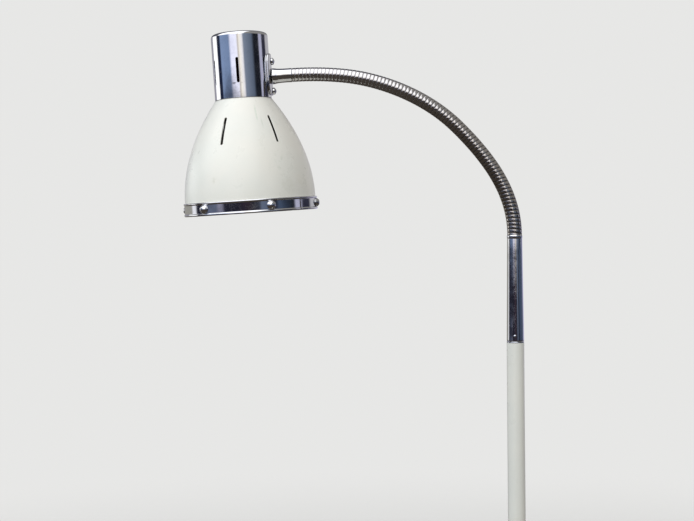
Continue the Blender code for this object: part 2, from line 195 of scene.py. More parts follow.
def enamelFinish(name, look):
    # stoved cream enamel: slow drift of tone, faint yellow stains, rubbed streaks and a light orange-peel skin
    material, tree, shader, spot = newFinish(name, Coat_Weight=look["coat"], Coat_Roughness=0.16, IOR=1.5)
    drift = addSpan(tree, addNoise(tree, spot, look["driftSize"], 3, 0.5), *noiseMiddle)
    tone = addBlend(tree, drift, look["tone"], look["cooler"])
    stain = addSpan(tree, addNoise(tree, spot, look["stainSize"], 6, 0.62, 0.8), *look["stainFrom"])
    tone = addBlend(tree, addProduct(tree, stain, look["stainDepth"]), tone, look["stain"])
    rubbed = addNoise(tree, addStretch(tree, spot, look["rubbedStretch"], look["rubbedTurn"]), 1.0, 4, 0.7)
    rubbed = addSpan(tree, rubbed, *look["rubbedFrom"])
    tone = addBlend(tree, addProduct(tree, rubbed, look["rubbedDepth"]), tone, look["rubbed"])
    dust = addSpan(tree, addNoise(tree, spot, look["dustSize"], 2, 0.5), *look["dustFrom"])
    tone = addBlend(tree, addProduct(tree, dust, look["dustDepth"]), tone, look["stain"])
    for mark in look["marks"]:
        # a scuff, or inside the bell the painted shade: a soft ball round its place, broken up by streaks
        near = addNode(tree, "VectorMath", {0: spot, 1: mark["place"]}, operation="DISTANCE").outputs["Value"]
        ball = addSpan(tree, near, mark["reach"] * 0.25 * mm, mark["reach"] * mm, 1.0, 0.0)
        streak = addNoise(tree, addStretch(tree, spot, mark["stretch"], mark["turn"]), 1.0, 4, 0.65, 0.3)
        scuffOrShade = addProduct(tree, ball, addSpan(tree, streak, *mark["from"]))
        tone = addBlend(tree, addProduct(tree, scuffOrShade, mark["depth"]), tone, mark["tone"])
    for line in look["scratches"]:
        # a scratch: a thin slab across the skin, fading at its ends and sides, broken up by a fine noise
        turn = [math.radians(value) for value in line["turn"]]
        size = [value * mm for value in line["size"]]
        inputs = {"Vector": spot, "Location": line["place"], "Rotation": turn, "Scale": size}
        slab = addNode(tree, "Mapping", inputs, vector_type="TEXTURE").outputs["Vector"]
        far = addNode(tree, "VectorMath", {0: slab}, operation="LENGTH").outputs["Value"]
        broken = addSpan(tree, addNoise(tree, spot, 260, 3, 0.6), 0.35, 0.6, 0.35, 1.0)
        cut = addProduct(tree, addSpan(tree, far, 0.35, 1.0, 1.0, 0.0), broken)
        tone = addBlend(tree, addProduct(tree, cut, line["depth"]), tone, line["tone"])
    tree.links.new(tone, shader.inputs["Base Color"])
    haze = addNoise(tree, spot, look["hazeSize"], 4, 0.6)
    tree.links.new(addSpan(tree, haze, *hazeFrom, *look["rough"]), shader.inputs["Roughness"])
    wave = addBump(tree, addNoise(tree, spot, look["waveSize"], 2, 0.5), look["wave"], look["waveTall"])
    peel = addBump(tree, addNoise(tree, spot, look["peelSize"], 2, 0.5), look["peel"], look["peelTall"], wave)
    tree.links.new(peel, shader.inputs["Normal"])
    return material


def onHead(azimuth, radius, height):
    # a place on the head, from its azimuth (0 front, 90 towards the neck), radius and height
    angle = math.radians(azimuth)
    spot = np.array([radius * math.sin(angle), -radius * math.cos(angle), height]) * mm
    return tuple(float(value) for value in head[0] + spot @ head[1])


poleEnamelLook = {
    "tone": (0.79, 0.785, 0.73), "cooler": (0.74, 0.75, 0.71), "driftSize": 9, "coat": 0.25,
    "stain": (0.52, 0.47, 0.33), "stainSize": 30, "stainFrom": (0.56, 0.78), "stainDepth": 0.12,
    "rubbed": (0.44, 0.45, 0.38), "rubbedStretch": (500, 500, 26), "rubbedTurn": (4, 6, 0),
    "rubbedFrom": (0.68, 0.76), "rubbedDepth": 0.14, "dustSize": 1500, "dustFrom": (0.70, 0.76), "dustDepth": 0.12,
    "rough": (0.26, 0.42), "hazeSize": 55, "waveSize": 70, "wave": 0.08, "waveTall": 0.5,
    "peelSize": 620, "peel": 0.12, "peelTall": 0.05, "marks": [], "scratches": [],
}

# scuffs: where each one is, how far it reaches in millimetres, how its streaks run and how strong it is
shadeMarks = [
    {"place": onHead(33, 69, -78), "reach": 17, "stretch": (150, 150, 110), "turn": (0, 28, 0),
     "from": (0.50, 0.66), "depth": 0.26, "tone": (0.46, 0.52, 0.42)},
    {"place": onHead(-26, 71, -92), "reach": 7, "stretch": (180, 180, 180), "turn": (0, 0, 0),
     "from": (0.45, 0.65), "depth": 0.30, "tone": (0.52, 0.51, 0.40)},
    {"place": onHead(46, 72, -100), "reach": 24, "stretch": (90, 90, 90), "turn": (0, 0, 0),
     "from": (0.42, 0.72), "depth": 0.20, "tone": (0.58, 0.58, 0.47)},
    {"place": onHead(52, 50, -30), "reach": 12, "stretch": (160, 160, 220), "turn": (0, -18, 0),
     "from": (0.50, 0.68), "depth": 0.24, "tone": (0.50, 0.55, 0.48)},
]
# half width, depth and half length of each thin mark in millimetres, and how it leans
shadeScratches = [
    {"place": onHead(22, 43, -19), "size": (1.3, 30, 13), "turn": (0, -13, 0), "depth": 0.42,
     "tone": (0.40, 0.54, 0.40)},
    {"place": onHead(27, 50, -31), "size": (1.1, 30, 9), "turn": (0, -15, 0), "depth": 0.30,
     "tone": (0.46, 0.52, 0.42)},
]
shadeEnamelLook = dict(
    poleEnamelLook, tone=(0.83, 0.81, 0.745), cooler=(0.785, 0.79, 0.74), driftSize=14, stainSize=42,
    stainDepth=0.07, rubbedStretch=(260, 260, 40), rubbedTurn=(20, 30, 10), rubbedDepth=0.07, marks=shadeMarks,
    scratches=shadeScratches,
)

# inside, the enamel is darkened to a near-black brown, most near the top: painted shade inside the bell
insideShadedEnamelLook = dict(
    shadeEnamelLook, scratches=[], coat=0.0, rough=(0.55, 0.8), marks=[
        {"place": onHead(0, 0, -20), "reach": 135, "stretch": (30, 30, 30), "turn": (0, 0, 0), "from": (0.0, 0.4),
         "depth": 0.97, "tone": (0.034, 0.018, 0.011)},
    ],
)


def neckFinish(name, look):
    # worn plating on the wound neck: grime and painted shade in the grooves, and a darker tone growing towards the
    # sleeve
    material, tree, shader, spot = newFinish(name, Metallic=1.0)
    groove = addNode(tree, "Attribute", attribute_name="groove").outputs["Fac"]
    along = addNode(tree, "Attribute", attribute_name="along").outputs["Fac"]
    patch = addNoise(tree, spot, look["patchSize"], 5, 0.65, 0.5)
    age = addProduct(tree, addSpan(tree, patch, *noiseMiddle), along)
    tone = addBlend(tree, addSpan(tree, along, 0.1, 1.0, 0.0, look["sleeveToneDepth"]), look["tone"], look["sleeveTone"])
    tone = addBlend(tree, addProduct(tree, age, look["ageDepth"]), tone, look["aged"])
    # painted shade in the grooves, mixed with grime, stronger towards the sleeve
    grooveGrimeAndShade = addProduct(tree, addSpan(tree, groove, 0.25, 0.95), addSpan(tree, along, 0.0, 0.75, *look["grooveGrimeAndShade"]))
    tone = addBlend(tree, grooveGrimeAndShade, tone, look["grimeAndShade"])
    tree.links.new(tone, shader.inputs["Base Color"])
    haze = addSpan(tree, addNoise(tree, spot, look["hazeSize"], 4, 0.6), *hazeFrom, *look["rough"])
    grooveHaze = addSpan(tree, groove, 0.3, 1.0, 0.0, look["grooveRough"])
    total = addNode(tree, "Math", {0: haze, 1: grooveHaze}, operation="ADD").outputs[0]
    tree.links.new(total, shader.inputs["Roughness"])
    grain = addBump(tree, addNoise(tree, spot, look["grainSize"], 3, 0.6), look["grain"], look["grainTall"])
    tree.links.new(grain, shader.inputs["Normal"])
    return material


# the groove tone is grime and painted shade together
neckLook = {
    "tone": (0.76, 0.75, 0.75), "sleeveTone": (0.52, 0.49, 0.45), "sleeveToneDepth": 0.7,
    "aged": (0.34, 0.28, 0.21), "ageDepth": 0.35, "grimeAndShade": (0.06, 0.052, 0.045), "grooveGrimeAndShade": (0.30, 0.85),
    "patchSize": 60, "rough": (0.10, 0.20), "hazeSize": 160, "grooveRough": 0.35,
    "grainSize": 900, "grain": 0.2, "grainTall": 0.03,
}


def plainFinish(name, look):
    # moulded or soft stuff: two tones drifting into each other, with a fine grain
    constants = {"Coat_Weight": look.get("coat", 0.0), "Sheen_Weight": look.get("sheen", 0.0)}
    material, tree, shader, spot = newFinish(name, **constants)
    swirl = addNoise(tree, addStretch(tree, spot, look["stretch"]), look["swirlSize"], 5, 0.6, look["swirl"])
    tone = addBlend(tree, addSpan(tree, swirl, 0.35, 0.7), look["tone"], look["second"])
    tree.links.new(tone, shader.inputs["Base Color"])
    haze = addNoise(tree, spot, look["grainSize"] * 0.4, 3, 0.6)
    tree.links.new(addSpan(tree, haze, *noiseMiddle, *look["rough"]), shader.inputs["Roughness"])
    grain = addBump(tree, addNoise(tree, spot, look["grainSize"], 4, 0.65), look["grain"], look["grainDepth"])
    tree.links.new(grain, shader.inputs["Normal"])
    return material


bakeliteLook = {
    "tone": (0.055, 0.022, 0.012), "second": (0.13, 0.052, 0.024), "stretch": (1, 1, 0.35), "swirlSize": 90,
    "swirl": 2.2, "rough": (0.22, 0.38), "grainSize": 500, "grain": 0.1, "grainDepth": 0.04, "coat": 0.3,
}
rubberLook = {
    "tone": (0.022, 0.022, 0.024), "second": (0.05, 0.05, 0.05), "stretch": (1, 1, 1), "swirlSize": 160,
    "swirl": 0.3, "rough": (0.6, 0.85), "grainSize": 900, "grain": 0.35, "grainDepth": 0.06,
}
feltLook = {
    "tone": (0.05, 0.09, 0.06), "second": (0.10, 0.14, 0.10), "stretch": (1, 1, 1), "swirlSize": 340,
    "swirl": 1.5, "rough": (0.85, 1.0), "grainSize": 1400, "grain": 0.9, "grainDepth": 0.3, "sheen": 0.5,
}
flexLook = {
    "tone": (0.76, 0.74, 0.68), "second": (0.62, 0.58, 0.48), "stretch": (1, 1, 0.3), "swirlSize": 70,
    "swirl": 0.4, "rough": (0.4, 0.6), "grainSize": 800, "grain": 0.2, "grainDepth": 0.04,
}


def opalFinish(name, look):
    # flashed opal glass: milky, slightly uneven, a little dust on its skin
    material, tree, shader, spot = newFinish(name, Transmission_Weight=0.25, IOR=1.48, Coat_Weight=0.4)
    milk = addSpan(tree, addNoise(tree, spot, look["milkSize"], 4, 0.6, 0.5), *noiseMiddle)
    tree.links.new(addBlend(tree, milk, look["tone"], look["second"]), shader.inputs["Base Color"])
    dust = addSpan(tree, addNoise(tree, spot, look["dustSize"], 3, 0.6), *noiseMiddle, *look["rough"])
    tree.links.new(dust, shader.inputs["Roughness"])
    ripple = addBump(tree, addNoise(tree, spot, look["rippleSize"], 2, 0.5), look["ripple"], look["rippleTall"])
    tree.links.new(ripple, shader.inputs["Normal"])
    return material


opalLook = {
    "tone": (0.80, 0.80, 0.78), "second": (0.72, 0.73, 0.72), "milkSize": 30, "dustSize": 320,
    "rough": (0.14, 0.30), "rippleSize": 60, "ripple": 0.1, "rippleTall": 0.2,
}

finishes = {
    "chrome": metalFinish("polished chrome", chromeLook),
    "bushChrome": metalFinish("satin chrome", bushLook),
    "steel": metalFinish("zinc plated steel", steelLook),
    "brass": metalFinish("stamped brass", brassLook),
    "iron": metalFinish("rough cast iron", ironLook),
    "shadeEnamel": enamelFinish("cream shade enamel", shadeEnamelLook),
    "insideShadedEnamel": enamelFinish("inside enamel with painted shade", insideShadedEnamelLook),
    "poleEnamel": enamelFinish("cream pole enamel", poleEnamelLook),
    "neck": neckFinish("worn neck plating", neckLook),
    "bakelite": plainFinish("brown bakelite", bakeliteLook),
    "rubber": plainFinish("black rubber", rubberLook),
    "felt": plainFinish("green felt", feltLook),
    "flex": plainFinish("cream flex", flexLook),
    "opal": opalFinish("opal glass", opalLook),
}
print("finishes mixed:", len(finishes))


def gridQuads(rows, columns, rowsMeet):
    # the quad of every cell of a grid whose last column joins the first, and its last row too where the rows meet
    i, j = np.meshgrid(np.arange(rows if rowsMeet else rows - 1), np.arange(columns), indexing="ij")
    nextI, nextJ = (i + 1) % rows, (j + 1) % columns
    corners = (i * columns + j, i * columns + nextJ, nextI * columns + nextJ, nextI * columns + j)
    return np.stack(corners, -1).reshape(-1, 4)


def softOutline(corners, steps=4):
    # each (radius, height, softness) corner, in millimetres, becomes a short Bezier curve that starts and ends that
    # far along its sides: (1 - u) squared of the start, 2 u (1 - u) of the corner, u squared of the end
    corners = np.array(corners, float)
    spot, soft = corners[:, :2], corners[:, 2:]
    back, onward = np.roll(spot, 1, 0) - spot, np.roll(spot, -1, 0) - spot
    backLength = np.linalg.norm(back, axis=1, keepdims=True)
    onwardLength = np.linalg.norm(onward, axis=1, keepdims=True)
    reach = np.minimum(soft, 0.36 * np.minimum(backLength, onwardLength))  # little over a third of the shorter side
    start, end = spot + back / backLength * reach, spot + onward / onwardLength * reach
    u = np.linspace(0, 1, steps + 1)[None, :, None]
    bend = (1 - u) ** 2 * start[:, None] + 2 * u * (1 - u) * spot[:, None] + u**2 * end[:, None]
    before, after = spot + 1.3 * (start - spot), spot + 1.3 * (end - spot)  # one more row keeps the flats flat
    return np.concatenate([before[:, None], bend, after[:, None]], axis=1).reshape(-1, 2)


def makePiece(name, points, quads, seat, look, closed=True, sharp=48, values=None):
    # puts a grid of points into a mesh: millimetres in the seat become metres in the row frame
    placed = seat[0] + (points.reshape(-1, 3) * mm) @ seat[1]
    used, renumbered = np.unique(quads, return_inverse=True)
    mesh = bpy.data.meshes.new(name)
    mesh.from_pydata(placed[used].tolist(), [], renumbered.reshape(quads.shape).tolist())
    for key, value in (values or {}).items():
        mesh.attributes.new(key, "FLOAT", "POINT").data.foreach_set("value", value.ravel()[used].astype(np.float32))
    shape = bmesh.new()
    shape.from_mesh(mesh)
    bmesh.ops.remove_doubles(shape, verts=shape.verts, dist=2e-6)
    if closed:
        bmesh.ops.recalc_face_normals(shape, faces=shape.faces)
        if shape.calc_volume(signed=True) < 0:
            bmesh.ops.reverse_faces(shape, faces=shape.faces)
    shape.to_mesh(mesh)
    shape.free()
    mesh.shade_smooth()
    mesh.set_sharp_from_angle(angle=math.radians(sharp))
    mesh.materials.append(finishes[look])
    made = bpy.data.objects.new(name, mesh)
    bpy.context.scene.collection.objects.link(made)
    return made


def install(piece, body, slot, *nodes):
    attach(piece, body)
    if nodes:
        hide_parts(*nodes)
    return piece


def carriedRound(outline, sides):
    # (radius, height) carried round z: x is radius cos a, y is radius sin a, z is height, with a over a full turn
    outline = np.array(outline, float)
    a = np.arange(sides) * math.tau / sides
    radius, height = outline[:, :1], outline[:, 1:]
    return np.stack([radius * np.cos(a), radius * np.sin(a), height + 0 * a], -1)


def turned(name, corners, seat, look, sides=96, sharp=48):
    # a turned piece from its softened outline; one that starts on the axis also ends on it, others close into a ring
    outline = softOutline(corners)
    solid = corners[0][0] == 0
    points = carriedRound(outline, sides)
    quads = gridQuads(len(outline), sides, rowsMeet=not solid)
    return makePiece(name, points, quads, seat, look, sharp=sharp)


def openingRows(low, high, half, straight):
    # heights that follow an opening's rounded ends and straight sides, from its low tip to its high tip
    ends = half * (1 - np.cos(np.linspace(0, math.pi / 2, 6)))
    middle = np.linspace(low + half, high - half, straight + 1)[1:-1]
    return np.unique(np.concatenate([low + ends, middle, high - ends]).round(6))


def openedShell(name, outline, seat, look, columns, opening, wall, edge):
    # A turned skin with openings, then given its wall. The columns beside each opening's middle are drawn in or out
    # to its edge, half the opening's width over the radius, and the ones beyond share what is left.
    radius, height = np.array(outline, float).T
    step = math.tau / columns
    apart = columns // opening["count"]
    offset = (np.arange(columns) + apart // 2) % apart - apart // 2
    half = opening["width"] / 2
    low, high = opening["low"], opening["high"]
    slack = 1e-4
    inside = (height >= low - slack) & (height <= high + slack) & (radius > opening["innerRadius"])
    inset = np.clip(np.minimum(height - low, high - height), 0, half)
    reach = 5  # columns on either side that give way to the opening
    halfTurn = np.sqrt(np.maximum(half**2 - (half - inset) ** 2, 0)) / np.maximum(radius, 1)
    shared = (np.abs(offset) - 1) / (reach - 1)
    drawn = np.sign(offset) * (halfTurn[:, None] * (1 - shared) + reach * step * shared)
    moved = inside[:, None] & (np.abs(offset) >= 1) & (np.abs(offset) <= reach)
    angle = np.arange(columns) * step + math.radians(opening["first"])
    angle = angle + np.where(moved, drawn - offset * step, 0)
    points = np.stack(
        [radius[:, None] * np.sin(angle), -radius[:, None] * np.cos(angle), height[:, None] + 0 * angle], -1
    )
    quads = gridQuads(len(outline), columns, rowsMeet=False)
    row, column = quads[:, 0] // columns, quads[:, 0] % columns
    cut = inside[row] & inside[row + 1] & np.isin(offset[column], (-1, 0))
    quads = quads[~cut]
    if opening["flip"]:
        quads = quads[:, ::-1]
    made = makePiece(name, points, quads, seat, look, closed=False, sharp=60)
    thick = made.modifiers.new("wall", "SOLIDIFY")
    thick.thickness = wall * mm
    thick.offset = -1
    thick.use_even_offset = True
    soften = made.modifiers.new("edges", "BEVEL")
    soften.width = edge * mm
    soften.segments = 2
    soften.limit_method = "ANGLE"
    soften.angle_limit = math.radians(50)
    soften.harden_normals = True
    return made


def slottedHead(name, size, seat, look, turn=0.0):
    # A domed screw head with a driver slot. Each row is a slice across the head at y, whose half chord is
    # the root of radius squared less y squared; slices inside the slot drop to its floor.
    radius, skirt, dome = size["radius"], size["skirt"], size["dome"]
    slot = size["slotWidth"] / 2
    y = np.concatenate([np.linspace(-radius, -slot, 16), [-slot, slot], np.linspace(slot, radius, 16)])
    floor = np.zeros(len(y))
    floor[16:18] = 1
    chord = np.sqrt(np.maximum(radius**2 - y**2, 0))
    across = np.concatenate([[-1, -1], np.sin(np.linspace(-1, 1, 19) * math.pi / 2), [1, 1], [0]])
    place = np.concatenate([[0, 0.7], np.ones(19), [0.7, 0], [0]])
    x = chord[:, None] * across
    rise = dome * (1 - (x**2 + y[:, None] ** 2) / radius**2) + skirt
    rise = np.where(floor[:, None] > 0, skirt + dome - size["slotDepth"], rise)
    z = np.minimum(rise, skirt + dome) * place
    angle = math.radians(turn)
    y = y[:, None] + 0 * x
    points = np.stack([
        x * math.cos(angle) - y * math.sin(angle), x * math.sin(angle) + y * math.cos(angle), z + size["seat"],
    ], -1)
    quads = gridQuads(len(points), len(across), rowsMeet=False)
    return makePiece(name, points, quads, seat, look, sharp=35)


footSize = {
    "radius": 145, "edge": 6, "skirtTop": 17, "top": 23, "middle": 6, "flatFrom": 0.83, "wall": 1.5, "soft": 0.25,
    "round": 180, "lowRows": (1.0, 2.2, 3.2), "cableHole": 8.0, "cableHeight": 8.0,
}
feltSize = {
    "round": 128,
    "outline": [(0, 0, 0), (139, 0, 0.6), (140, 0.8, 0.6), (140, 2.6, 0.5), (139.4, 3, 0.3), (0, 3, 0)],
}
collarSize = {
    "round": 96,
    "outline": [(10.3, 23.3, 0.2), (19, 23.3, 0.4), (19, 25.6, 0.8), (17.2, 28.3, 2), (12.7, 34, 3), (12.0, 37.3, 0.5),
                (10.3, 37.3, 0.2)],
}
grommetSize = {
    "round": 48,
    "outline": [(2.9, 138.3, 0.2), (4.6, 138.3, 0.3), (4.6, 142.6, 0.2), (3.7, 142.9, 0.2), (3.7, 145.3, 0.1),
                (5.4, 145.3, 0.4), (5.2, 146.6, 0.6), (4.4, 147.5, 0.6), (2.9, 147.5, 0.5)],
}


def buildFoot(size):
    radius, edge, top = size["radius"], size["edge"], size["top"]
    bend = np.radians(np.linspace(0, 90, 9))
    centre = (radius - edge, size["skirtTop"] - edge)
    half = size["cableHole"] / 2
    holeRows = openingRows(size["cableHeight"] - half, size["cableHeight"] + half, half, 1)
    rollFrom = size["skirtTop"] - edge - 0.2  # below this the skirt stands straight
    heights = np.concatenate([size["lowRows"], holeRows])
    heights = heights[heights < rollFrom]
    skirt = np.stack([radius + 0 * heights, heights], -1)
    upperRows = holeRows[holeRows >= rollFrom]
    rolled = np.stack([centre[0] + edge * np.cos(bend), centre[1] + edge * np.sin(bend)], -1)
    # the hole's last rows lie on the rolled edge
    angles = np.arcsin(np.clip((upperRows - centre[1]) / edge, 0, 1))
    onRoll = np.stack([centre[0] + edge * np.cos(angles), upperRows], -1)
    rolled = rolled[rolled[:, 1] > (upperRows.max() if len(upperRows) else 0) + 0.3]
    # the top swells from the rolled edge to a flat middle: what is left to rise shrinks with the square of what is
    # left of the way in, u being that way from 0 to 1
    u = np.linspace(0, 1, 26)[1:]
    swell = 1 - (1 - np.clip(u / size["flatFrom"], 0, 1)) ** 2
    crown = np.stack([
        centre[0] + (size["middle"] - centre[0]) * u, size["skirtTop"] + (top - size["skirtTop"]) * swell,
    ], -1)
    outline = np.concatenate([skirt, onRoll, rolled, crown])
    opening = {"count": 1, "width": size["cableHole"], "low": size["cableHeight"] - half,
               "high": size["cableHeight"] + half, "first": 90, "innerRadius": 100, "flip": False}
    cover = openedShell("foot_cover", outline, standSeat, "poleEnamel", size["round"], opening, size["wall"],
                        size["soft"])
    install(cover, "stand", "enamel", "base_cover")


def buildFootTrim(felt, collar, grommet):
    felt = turned("foot_felt", felt["outline"], standSeat, "felt", felt["round"])
    install(felt, "stand", "felt", "base_felt")
    collar = turned("foot_collar", collar["outline"], standSeat, "chrome", collar["round"])
    install(collar, "stand", "chrome", "base_collar")
    seat = sideSeat(standSeat, 90, footSize["cableHeight"])
    grommet = turned("cable_grommet", grommet["outline"], seat, "rubber", grommet["round"])
    install(grommet, "stand", "rubber", "cable_bush")


poleSize = {"outer": 10, "bore": 8.5, "round": 96}
bearingSize = {"outer": 8.2, "bore": 7.1, "deep": 38, "gap": 0.3, "lipOuter": 10, "lipTall": 1.4, "round": 64}


def buildPole(bottom, top, pole, bearing):
    outer, bore = pole["outer"], pole["bore"]
    tube = [(bore, bottom, 0.3), (outer, bottom, 0.4), (outer, top, 0.35), (bore, top, 0.3)]
    install(turned("pole_tube", tube, standSeat, "poleEnamel", pole["round"]), "stand", "enamel", "pole")
    outer, bore, lipOuter = bearing["outer"], bearing["bore"], bearing["lipOuter"]
    foot, lip = top - bearing["deep"], top + bearing["gap"]
    crest = lip + bearing["lipTall"]
    bush = [(bore, foot, 0.2), (outer, foot, 0.3), (outer, lip, 0.2), (lipOuter, lip, 0.25),
            (lipOuter, crest - 0.5, 0.4), (lipOuter - 0.5, crest, 0.4), (bore, crest, 0.2)]
    bush = turned("pole_bearing", bush, standSeat, "bushChrome", bearing["round"])
    install(bush, "stand", "steel", "pole_top_bush")


buildFoot(footSize)
buildFootTrim(feltSize, collarSize, grommetSize)
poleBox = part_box("pole")
buildPole(poleBox[0].z / mm, poleBox[1].z / mm, poleSize, bearingSize)
print("foot and pole built")


# the tapered sleeve at the neck's root, and the lock screw low on its side
sleeveSize = {"length": 122, "bottom": 9.9, "top": 8.5, "bore": 7.1, "round": 96}
sleeveScrewSize = {
    "radius": 1.55, "skirt": 0.25, "dome": 0.2, "slotWidth": 0.5, "slotDepth": 0.3, "seat": sleeveSize["bottom"] - 0.2,
    "azimuth": -12, "height": 6, "turn": 25,
}


def buildSleeve(size, screwSize):
    low, high, top, bore = size["bottom"], size["top"], size["length"], size["bore"]
    outline = [(bore, 0, 0.2), (low - 0.3, 0, 0.3), (low, 0.8, 0.5), (high + 0.12, top - 4.2, 1.4),
               (high + 0.4, top - 3.0, 0.8), (high + 0.4, top - 1.2, 0.8), (high - 0.1, top, 0.5), (bore, top, 0.2)]
    install(turned("sleeve_tube", outline, armSeat, "chrome", size["round"]), "arm_base", "chrome", "lower_sleeve")
    screwSeat = sideSeat(armSeat, screwSize["azimuth"], screwSize["height"])
    screw = slottedHead("sleeve_screw", screwSize, screwSeat, "bushChrome", screwSize["turn"])
    install(screw, "arm_base", "steel", "sleeve_grub_screw")


buildSleeve(sleeveSize, sleeveScrewSize)
print("sleeve built")


neckSize = {
    "links": 12, "radius": 8.45, "headRadius": 7.9, "bore": 6.2, "boreRows": 6, "ribPitch": 4.3, "ribDepth": 0.16,
    "ribPower": 5, "round": 56, "rowsPerRib": 14,
}


def neckJoints():
    # the neck's joints from the sleeve to the head: three lead, and the others are numbered followers
    leaders = {1: "neck_lower_bend", 2: "neck_side_bend", 7: "neck_upper_bend"}
    followers = {0: "neck_side_bend_", 1: "neck_bend_"}
    numbers = range(1, neckSize["links"] + 1)
    return [joints[leaders.get(number, f"{followers[number % 2]}{number:02d}")] for number in numbers]


def neckKnots():
    # the neck is a chain of Bezier curves: from the middle of one link, pulled by the joint, to the next middle
    pull = np.array([joint["pos_m"] for joint in neckJoints()]) / mm
    root = np.array([0, 0, joints["arm_swivel"]["pos_m"][2] / mm + sleeveSize["length"]])
    pitch = 2 * np.linalg.norm(pull[0] - root)
    end = pull[-1] - unit(joints["head_swivel"]["axis"]) * pitch / 2
    middles = np.concatenate([[root], (pull[1:] + pull[:-1]) / 2, [end]])
    return middles[:-1], pull, middles[1:]


def buildNeck(size):
    bends = neckJoints()
    starts, pulls, ends = neckKnots()
    fine = np.linspace(0, 1, 401)[:, None]
    spots = [(1 - fine) ** 2 * a + 2 * fine * (1 - fine) * b + fine**2 * c for a, b, c in zip(starts, pulls, ends)]
    lengths = [np.concatenate([[0], np.cumsum(np.linalg.norm(np.diff(s, axis=0), axis=1))]) for s in spots]
    total = sum(length[-1] for length in lengths)
    a = np.arange(size["round"]) * math.tau / size["round"]
    side = np.array([0, 1.0, 0])
    done = 0.0
    for number, joint in enumerate(bends):
        start, pull, end, length = starts[number], pulls[number], ends[number], lengths[number]
        rows = int(round(length[-1] / size["ribPitch"] * size["rowsPerRib"]))
        u = np.interp(np.linspace(0, length[-1], rows + 1), length, fine[:, 0])
        run = done + np.interp(u, fine[:, 0], length)
        # outside: a winding whose radius dips by a power of |cos(pi turns)| where two turns meet, with turns counted
        # along the neck less round it; inside: a plain bore walked back to the start
        turns = run[:, None] / size["ribPitch"] - a / math.tau
        groove = np.abs(np.cos(math.pi * turns)) ** size["ribPower"]
        back = np.linspace(1, 0, size["boreRows"])
        u = np.concatenate([u, back])[:, None]
        crest = size["radius"] + (size["headRadius"] - size["radius"]) * run[:, None] / total  # a slight taper
        radius = np.concatenate([crest - size["ribDepth"] * groove, np.full((len(back), len(a)), size["bore"])])
        groove = np.concatenate([groove, np.ones((len(back), len(a)))])
        run = np.concatenate([run, done + np.interp(back, fine[:, 0], length)])
        middle = (1 - u) ** 2 * start + 2 * u * (1 - u) * pull + u**2 * end
        ahead = 2 * (1 - u) * (pull - start) + 2 * u * (end - pull)
        ahead = ahead / np.linalg.norm(ahead, axis=1, keepdims=True)
        across = np.cross(side, ahead)
        points = middle[:, None] + radius[..., None] * (
            np.cos(a)[None, :, None] * side + np.sin(a)[None, :, None] * across[:, None]
        )
        values = {"groove": groove, "along": np.broadcast_to(1 - run[:, None] / total, groove.shape)}
        quads = gridQuads(len(u), len(a), rowsMeet=True)
        name = f"neck_winding_{number + 1:02d}"
        piece = makePiece(name, points, quads, standSeat, "neck", sharp=60, values=values)
        nodes = [f"gooseneck_link_{number + 1:02d}"] + (["neck_root_link"] if number == 0 else [])
        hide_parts(*nodes)
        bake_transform(piece)
        done += length[-1]
    return ends[-1] * mm


neckEnd = buildNeck(neckSize)
print("neck wound")


ferruleSize = {
    "round": 96,
    "outline": [(6.5, 0.3, 0.2), (7.8, 0.3, 0.4), (8.05, 1.2, 0.6), (7.95, 5, 2), (8.0, 12, 2), (8.3, 17, 2),
                (8.9, 20.5, 1.5), (9.2, 23, 0.3), (5.4, 23, 0.2), (5.4, 11, 0.2), (6.5, 11, 0.2)],
}


def buildFerrule(place, size):
    back = unit(joints["head_swivel"]["axis"])
    seat = (place, np.array([np.cross((0, 1, 0), -back), (0, 1, 0), -back]))
    ferrule = turned("ferrule", size["outline"], seat, "chrome", size["round"])
    install(ferrule, "link_12", "chrome", "neck_ferrule")


saddleSize = {
    "inner": 32.8, "thick": 2.0, "width": 31, "tall": 47, "square": 4.6, "hole": 5.5, "height": 27, "round": 128,
}
# its two screws: the same head, at a height on the housing, with its slot turned so many degrees
saddleScrewSize = {
    "radius": 4.0, "skirt": 1.5, "dome": 2.2, "slotWidth": 1.1, "slotDepth": 1.5, "seat": 34.85,
    "places": (("lower", 8, 40), ("upper", 42, 100)),
}


def buildSaddle(size, screwSize):
    # outline: a squared-off oval, whose reach at angle t is (|cos t / half width|^n + |sin t / half height|^n)^(-1/n)
    t = np.arange(size["round"]) * math.tau / size["round"]
    n = size["square"]
    reach = (np.abs(np.cos(t) / (size["width"] / 2)) ** n + np.abs(np.sin(t) / (size["tall"] / 2)) ** n) ** (-1 / n)
    # section, as (share of the way from hole to edge, share of the thickness)
    section = np.array([
        (0, 0), (0, 0.5), (0, 0.85), (0.02, 1), (0.05, 1), (0.2, 1), (0.4, 1), (0.6, 1), (0.8, 1), (0.93, 1),
        (0.965, 0.985), (0.985, 0.88), (0.997, 0.68), (1, 0.45), (1, 0.15), (0.99, 0), (0.8, 0), (0.5, 0), (0.2, 0),
    ])
    share, lift = section[:, :1], section[:, 1:]
    distance = size["hole"] * (1 - share) + reach * share
    around, up = distance * np.cos(t), distance * np.sin(t)
    radius = size["inner"] + size["thick"] * lift + 0 * around
    angle = around / (size["inner"] + size["thick"])
    points = np.stack([radius * np.cos(angle), radius * np.sin(angle), up + size["height"]], -1)
    quads = gridQuads(len(section), len(t), rowsMeet=True)
    plate = makePiece("saddle", points, quads, head, "chrome", sharp=60)
    install(plate, "head", "chrome", "saddle_plate")
    for name, height, turn in screwSize["places"]:
        screw = slottedHead(f"saddle_{name}_screw", screwSize, sideSeat(head, 90, height), "chrome", turn)
        install(screw, "head", "chrome", f"saddle_screw_{name}")


buildFerrule(neckEnd, ferruleSize)
buildSaddle(saddleSize, saddleScrewSize)
print("ferrule and saddle built")


